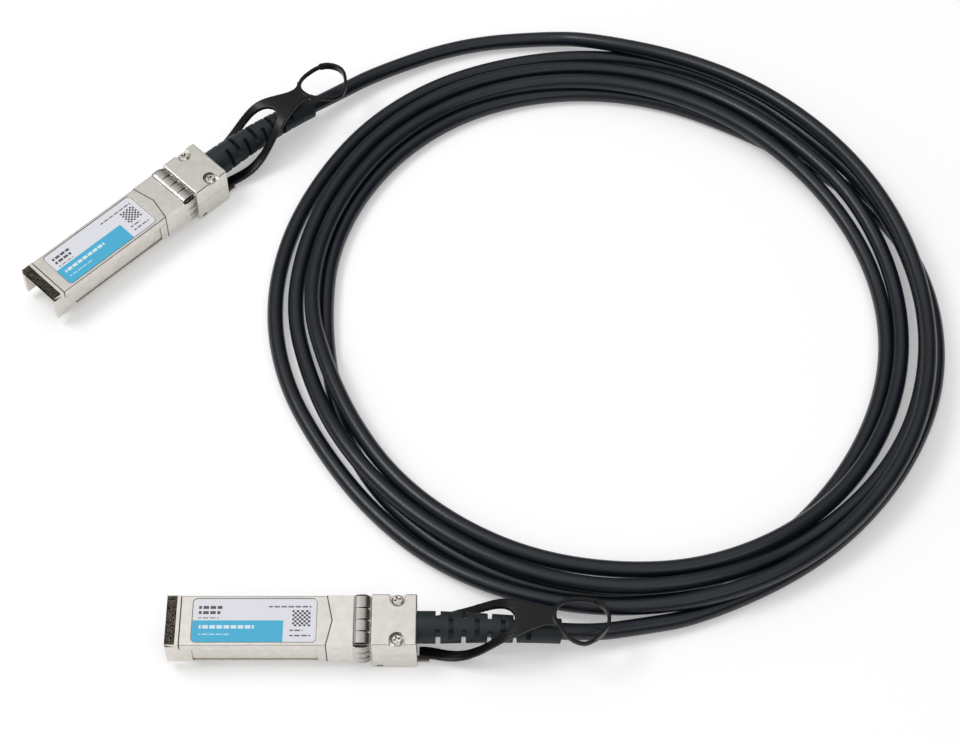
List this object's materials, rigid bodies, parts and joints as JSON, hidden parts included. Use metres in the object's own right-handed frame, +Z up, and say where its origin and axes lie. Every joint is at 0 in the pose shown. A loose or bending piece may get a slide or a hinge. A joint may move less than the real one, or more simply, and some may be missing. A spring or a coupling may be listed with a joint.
{
  "type": "direct attach copper cable",
  "caption": "Coiled twinax network cable with a pluggable metal connector at each end, slotted strain relief boots and pull-ring latch releases.",
  "frame": {"origin": "middle of the box round the two connectors, their boots and pull tabs, on the surface that they lie on", "axes": "+Z up from the surface; +X along the first connector from its nose to its tail; +Y across towards the second connector"},
  "size_m": [0.2448, 0.2016, 0.0133],
  "materials": {
    "die_cast": "nickel-plated zinc die casting, satin",
    "spring_steel": "thin bright spring sheet",
    "slide_steel": "plated sheet metal",
    "screw_steel": "nickel-plated, fine machined",
    "label_film": "printed film with a cyan field, semi-gloss",
    "board": "solder-masked circuit board",
    "gold_plate": "hard gold plate",
    "chip_resin": "moulded resin",
    "wire_insulation": "pale foamed insulation",
    "ferrule_copper": "rolled and crimped",
    "jacket": "smooth satin jacket",
    "boot_rubber": "matt overmoulding",
    "tab_plastic": "fine-grained flexible moulding"
  },
  "bodies": {
    "root": {"base_shell_a": "die_cast", "top_cover_a": "die_cast", "emi_collar_a": "spring_steel", "cover_screw_left_a": "screw_steel", "cover_screw_right_a": "screw_steel", "label_a": "label_film", "paddle_card_a": "board", "card_contacts_a": "gold_plate", "memory_chip_a": "chip_resin", "twinax_wires_a": "wire_insulation", "crimp_ferrule_a": "ferrule_copper", "jacket_end_a": "jacket", "strain_relief_a": "boot_rubber", "return_spring_left_a": "spring_steel", "return_spring_right_a": "spring_steel", "cable_lead_a": "jacket", "base_shell_b": "die_cast", "top_cover_b": "die_cast", "emi_collar_b": "spring_steel", "cover_screw_left_b": "screw_steel", "cover_screw_right_b": "screw_steel", "label_b": "label_film", "paddle_card_b": "board", "card_contacts_b": "gold_plate", "memory_chip_b": "chip_resin", "twinax_wires_b": "wire_insulation", "crimp_ferrule_b": "ferrule_copper", "jacket_end_b": "jacket", "strain_relief_b": "boot_rubber", "return_spring_left_b": "spring_steel", "return_spring_right_b": "spring_steel", "cable_lead_b": "jacket", "cable_coil": "jacket"},
    "release_a": {"latch_slide_a": "slide_steel", "pull_tab_a": "tab_plastic"},
    "release_b": {"latch_slide_b": "slide_steel", "pull_tab_b": "tab_plastic"}
  },
  "joints": [
    {"name": "release_a_slide", "type": "slide", "parent": "root", "child": "release_a", "axis": [1, 0, 0], "range_m": [0, 0.002], "stiffness_N_per_m": 1000, "springref_m": -0.002, "deforming": ["return_spring_left_a", "return_spring_right_a"]},
    {"name": "release_b_slide", "type": "slide", "parent": "root", "child": "release_b", "axis": [0.7071, 0.7071, 0], "range_m": [0, 0.002], "stiffness_N_per_m": 1000, "springref_m": -0.002, "deforming": ["return_spring_left_b", "return_spring_right_b"]}
  ]
}
